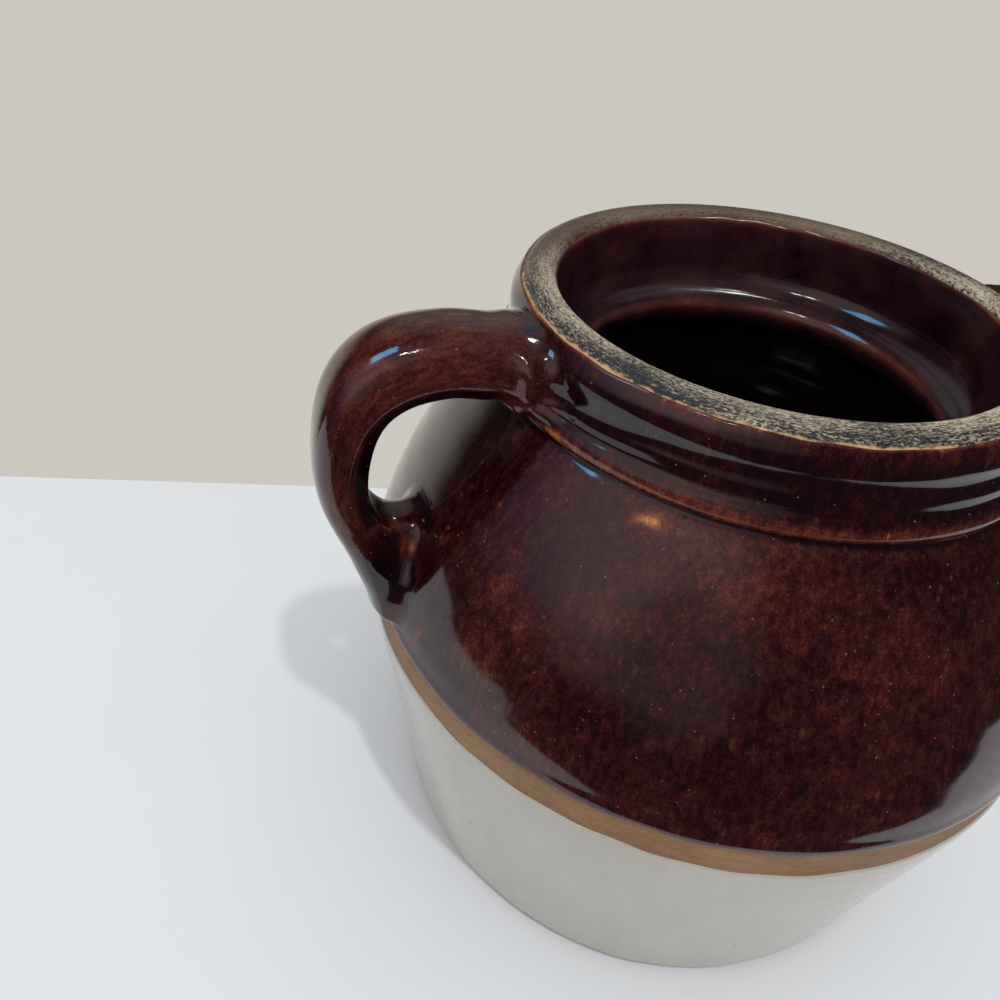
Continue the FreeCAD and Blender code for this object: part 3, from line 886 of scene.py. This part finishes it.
def worn_rim():
    """Bare rim: charcoal and cream speckle, rubbed along the rim by a lid, and made darker on its
    far side as painted shade.
    """
    shader = Shader("worn_rim")
    parts = shader.add("ShaderNodeSeparateXYZ", {0: shader.place})
    flat = shader.add("ShaderNodeCombineXYZ", {0: parts.outputs[0], 1: parts.outputs[1]})
    radius = shader.add("ShaderNodeVectorMath", {0: flat.outputs[0]},
                        operation="LENGTH").outputs["Value"]

    def rubbed(stretch):
        """Place drawn out across the rim, so that grains lie along it."""
        return shader.add("ShaderNodeCombineXYZ", {
            0: parts.outputs[0], 1: parts.outputs[1],
            2: shader.math("MULTIPLY", radius, stretch)}).outputs[0]

    speckle = shader.noise(1.0, 4.0, 0.75, place=rubbed(3.0))
    scratches = shader.noise(8.0, 4.0, 0.75, place=rubbed(26.0))
    patches = shader.noise(24.0, 2.0)
    tone = shader.total(0.45, (speckle, 2.7), (scratches, 1.2), (patches, 0.9))
    tone = shader.math("ADD", tone, shader.span(radius, 0.0530, 0.0590, 0.16, -0.16))
    tone = shader.math("ADD", tone, shader.span(parts.outputs[1], -0.055, -0.015, 0.10, 0.0))
    colour = shader.ramp(tone, [
        (0.26, (0.022, 0.022, 0.026)), (0.44, (0.065, 0.060, 0.056)),
        (0.58, (0.26, 0.21, 0.145)), (0.74, (0.42, 0.36, 0.265)), (1.0, (0.56, 0.50, 0.39))])
    # Painted shade: the rim's far side is made darker brown.
    far_side_shade = shader.span(parts.outputs[1], -0.002, 0.042, 0.0, 0.80)
    colour = shader.mixed(far_side_shade, colour, (0.080, 0.042, 0.023))
    edge = shader.total(radius, (shader.noise(2.0, 3.0), 0.0012))
    edge = shader.span(edge, 0.05925, 0.0597)
    colour = shader.mixed(edge, colour, (0.55, 0.36, 0.17))
    roughness = shader.span(tone, 0.35, 0.6, 0.26, 0.6)
    return shader.finish(colour, roughness, shader.bumped(tone, 0.10), IOR=1.32)


# ---- turned pieces

BODY_COLUMNS = 420
COLLAR_COLUMNS = 480
BROWN_COLUMNS = 640
WHITE_COLUMNS = 520
INNER_COLUMNS = 400


def even(along, angle):
    """A coat as thick everywhere."""
    return GLAZE + 0 * along


def wavy(value, reach, waves):
    """A distance along the outline that wanders by a reach as it goes round."""
    def edge(angle):
        circle = np.stack([np.cos(angle), np.sin(angle), np.zeros_like(angle)], -1) * 90.0
        return value + reach * uneven(waves, circle)
    return edge


def run_of_rings(line, stops, columns):
    """Plain rings at distances along an outline."""
    return placed(line, np.array(stops)[:, None], around(columns)[None, :],
                  np.zeros((len(stops), 1)))


def clay_body(material):
    """Foot, wall, belly and shoulder of bare clay, up to the joint under the collar."""
    joint_outside = clay_line.where(JOINT_HEIGHT)
    joint_inside = clay_line.where(JOINT_HEIGHT, inside=True)
    whole = clay_line.along[-1]
    outside = np.arange(1.0, joint_outside, 1.1)
    inside = np.arange(joint_inside, whole - 1.0, 1.6)
    rings = run_of_rings(clay_line, [*outside, joint_outside, *inside], BODY_COLUMNS)
    count = len(outside) + 1
    rings[:count] = pushed_out(rings[:count])
    rings[:3, :, :2] = run_of_rings(clay_line, outside[:3], BODY_COLUMNS)[..., :2]
    return turned("thrown_body", rings, material, "pot_body",
                  poles=[(0, 0, 0), (0, 0, FLOOR_THICKNESS)])


def clay_collar(material):
    """The neck, with its bare rim: its clay from the joint up and over."""
    start, end = clay_line.where(JOINT_HEIGHT), clay_line.where(JOINT_HEIGHT, inside=True)
    rings = run_of_rings(clay_line, np.arange(start, end, 0.45), COLLAR_COLUMNS)
    radius = np.linalg.norm(rings[..., :2], axis=-1)[..., None]
    rings += (pushed_out(rings) - rings) * smooth_step(radius, 57.2, 59.4)
    return turned("thrown_collar", rings, material, "collar")


def brown_coat(material):
    """Brown glaze from its edge over the bare band up to the rim."""
    low = glaze_line.where(BAND_TOP)
    edge = wavy(low, 0.2, EDGE_WAVES)
    top = wavy(glaze_line.where(RIM_HEIGHT - 1.3), 0.12, EDGE_WAVES)

    def thickness(along, angle):
        """Glaze runs down, and pools into a soft bead along its lower edge."""
        return GLAZE + 0.22 * np.exp(-((along - low - 1.4) / 1.3) ** 2) + 0 * angle

    face, back = coat(glaze_line, edge, top, thickness, BROWN_COLUMNS, 0.6)
    return turned("brown_coat", pushed_out(np.concatenate([face, back])), material,
                  "outer_brown_glaze")


def white_coat(material):
    """White glaze round the lower wall, from over the foot to the bare band."""
    edge = wavy(glaze_line.where(FOOT_BARE), 0.25, EDGE_WAVES)
    top = wavy(glaze_line.where(BAND_BOTTOM), 0.22, WHITE_EDGE_WAVES)
    face, back = coat(glaze_line, edge, top, even, WHITE_COLUMNS, 0.9)
    return turned("white_coat", pushed_out(np.concatenate([face, back])), material,
                  "lower_white_glaze")


def inner_coat(material):
    """Dark glaze from just inside the rim down the neck and over the floor."""
    edge = wavy(glaze_line.where(RIM_HEIGHT - 1.6, inside=True), 0.12, EDGE_WAVES)
    middle = glaze_line.along[-1] - 0.8
    face, back = coat(glaze_line, edge, lambda angle: middle + 0 * angle, even, INNER_COLUMNS,
                      1.1, open_end=True, backing=60)
    rings = np.concatenate([face[::-1], back[::-1]])
    return turned("inner_coat", rings, material, "inside_glaze",
                  poles=[(0, 0, FLOOR_THICKNESS + GLAZE), (0, 0, FLOOR_THICKNESS - BEDDING)])


# ---- the pot

EDGE_WAVES = ripples(10, 14, 60)
WHITE_EDGE_WAVES = ripples(10, 12, 50)

clay = bare_clay()
rim = worn_rim()
brown = brown_glaze()
clay_body(clay)
clay_collar(rim)
brown_coat(brown)
white_coat(white_glaze())
inner_coat(inner_glaze())
handle_pieces("left", Handle(-1, STRAP_LINE, STRAP_WIDTHS, STRAP_THICKNESSES), brown)

# The far strap was pulled by the same hand, and came out a little different.
RIGHT_STRAP_WIDTHS = STRAP_WIDTHS[:3] + [21.0, 21.2, 18.2]
right_line = [(reach + 0.4 * math.sin(2.1 * number), height + 0.3 * math.cos(1.7 * number),
               -0.5 * drift) for number, (reach, height, drift) in enumerate(STRAP_LINE)]
handle_pieces("right", Handle(1, right_line, RIGHT_STRAP_WIDTHS, STRAP_THICKNESSES), brown)


# ---- table and light

TABLE_HEADING = math.radians(-12.7)
TABLE_BACK = 132.4
TABLE_FRONT = -168.0
TABLE_LEFT_FRONT = -345.0
TABLE_LEFT_BACK = -620.0
TABLE_RIGHT = 330.0
TABLE_THICKNESS = 18.0


def tabletop():
    """Pale tabletop, whose back edge runs a little askew to the pot's handles."""
    made = bmesh.new()
    turn = Matrix.Rotation(TABLE_HEADING, 4, "Z")
    bmesh.ops.create_cube(made, size=1.0)
    for vertex in made.verts:
        back = vertex.co.y > 0
        left = TABLE_LEFT_BACK if back else TABLE_LEFT_FRONT
        x, y = TABLE_RIGHT if vertex.co.x > 0 else left, TABLE_BACK if back else TABLE_FRONT
        z = 0.0 if vertex.co.z > 0 else -TABLE_THICKNESS
        vertex.co = turn @ (Matrix.Scale(MM, 4) @ Vector((x, y, z)))
    mesh = bpy.data.meshes.new("tabletop")
    made.to_mesh(mesh)
    made.free()
    shader = Shader("tabletop")
    cloud = shader.total(0.5, (shader.noise(120.0, 3.0), 0.5))
    colour = shader.ramp(cloud, [(0.3, (0.745, 0.77, 0.81)), (0.7, (0.77, 0.80, 0.845))])
    normal = shader.bumped(shader.noise(0.8, 3.0, 0.6), 0.02)
    mesh.materials.append(shader.finish(colour, 0.5, normal, IOR=1.45))
    table = new_object("tabletop", mesh)


def direction(azimuth, elevation):
    """Unit vector towards a direction in degrees."""
    azimuth, elevation = math.radians(azimuth), math.radians(elevation)
    return (math.cos(elevation) * math.cos(azimuth), math.cos(elevation) * math.sin(azimuth),
            math.sin(elevation))


# The room as the glaze mirrors it: (azimuth, elevation, full within, gone beyond, colour).
ROOM_GLOWS = [
    (78.0, -14.0, 14.0, 32.0, (0.85, 0.81, 0.74)),
    (104.0, -14.0, 16.0, 34.0, (0.85, 0.81, 0.74)),
    (178.0, 26.0, 4.0, 34.0, (0.20, 0.17, 0.27)),
    (-152.0, 36.0, 3.0, 46.0, (0.78, 0.62, 0.61)),
    (-90.0, 76.0, 8.0, 42.0, (0.18, 0.185, 0.18)),
    (-122.0, 12.0, 2.0, 26.0, (0.22, 0.21, 0.22)),
    (76.0, 40.0, 8.0, 36.0, (0.34, 0.35, 0.33)),
    (55.0, 33.0, 3.0, 11.0, (0.08, 0.24, 0.40)),
    (15.0, 60.0, 4.0, 24.0, (0.34, 0.32, 0.33)),
]
ROOM_DARK = (0.030, 0.030, 0.034)
ROOM_WALL = (0.60, 0.575, 0.52)
ROOM_LIGHT = (0.875, 0.87, 0.86)


def room():
    """World: a plain wall colour behind, soft light all round, dim mirrored room."""
    world = bpy.data.worlds.new("room")
    bpy.context.scene.world = world
    world.use_nodes = True
    tree = world.node_tree
    tree.nodes.clear()
    shader = Shader.__new__(Shader)
    shader.tree = tree
    towards = shader.add("ShaderNodeTexCoord").outputs["Generated"]
    mirrored = ROOM_DARK
    for azimuth, elevation, full, gone, colour in ROOM_GLOWS:
        facing = shader.add("ShaderNodeVectorMath", {0: towards, 1: direction(azimuth, elevation)},
                            operation="DOT_PRODUCT").outputs["Value"]
        share = shader.span(facing, math.cos(math.radians(gone)), math.cos(math.radians(full)))
        mirrored = shader.mixed(share, mirrored, colour)
    path = shader.add("ShaderNodeLightPath")
    seen = shader.mixed(path.outputs["Is Glossy Ray"], ROOM_LIGHT, mirrored)
    seen = shader.mixed(path.outputs["Is Camera Ray"], seen, ROOM_WALL)
    lit = shader.add("ShaderNodeBackground", {"Color": seen, "Strength": 1.0})
    shader.add("ShaderNodeOutputWorld", {"Surface": lit.outputs[0]})


HANDLE_TOP = (-100.0, 0.0, 120.0)
SEAT_EDGE = (20.0, 41.3, 140.9)
# Lamps, as (azimuth, elevation, width, height, power, colour, aimed at, distance from there,
# whether the glaze mirrors it). The key lights the pot, and the others only glint in it.
LAMPS = {
    "key": (-83.4, 64.0, 30, 30, 2.3, (1.0, 0.99, 0.96), HANDLE_TOP, 900.0, False),
    "first_glint": (-142.0, 62.0, 44, 44, 0.35, (1.0, 0.98, 0.94), HANDLE_TOP, 900.0, True),
    "second_glint": (-129.0, 63.0, 44, 44, 0.3, (1.0, 0.98, 0.94), HANDLE_TOP, 900.0, True),
    "mouth_glint": (35.5, 69.0, 40, 52, 0.26, (1.0, 0.98, 0.95), SEAT_EDGE, 300.0, True),
    "window": (169.0, 55.0, 240, 360, 2.0, (0.18, 0.57, 1.0), HANDLE_TOP, 900.0, True),
}


def softbox(name, azimuth, elevation, wide, high, power, colour, aim, distance, mirrored):
    """Area lamp that either lights the pot or only shows as a glint in its glaze."""
    lamp = bpy.data.lights.new(name, "AREA")
    lamp.shape = "RECTANGLE"
    lamp.size = wide * MM
    lamp.size_y = high * MM
    lamp.energy = power
    lamp.color = colour
    made = new_object(name, lamp)
    away = Vector(direction(azimuth, elevation))
    made.visible_glossy = mirrored
    made.visible_diffuse = not mirrored
    made.location = (Vector(aim) + away * distance) * MM
    made.rotation_euler = away.to_track_quat("Z", "Y").to_euler()


CAMERA_PLACE = (-121.33, -152.54, 237.30)
CAMERA_HEADING = 21.065
CAMERA_TILT = 37.865
CAMERA_ROLL = 6.913
CAMERA_LENS = 30.6
CAMERA_SENSOR = 36.0


def camera():
    """Camera held close above the handle, looking down across the pot."""
    lens = bpy.data.cameras.new("camera")
    lens.lens = CAMERA_LENS
    lens.sensor_width = CAMERA_SENSOR
    lens.clip_start = 0.01
    made = new_object("camera", lens)
    turned_to = (Matrix.Rotation(math.radians(-CAMERA_HEADING), 4, "Z")
                 @ Matrix.Rotation(math.radians(90 - CAMERA_TILT), 4, "X")
                 @ Matrix.Rotation(math.radians(CAMERA_ROLL), 4, "Z"))
    made.matrix_world = Matrix.Translation([value * MM for value in CAMERA_PLACE]) @ turned_to
    bpy.context.scene.camera = made


tabletop()
room()
for name, lamp in LAMPS.items():
    softbox(name, *lamp)
camera()
bpy.context.scene.view_settings.view_transform = "Standard"
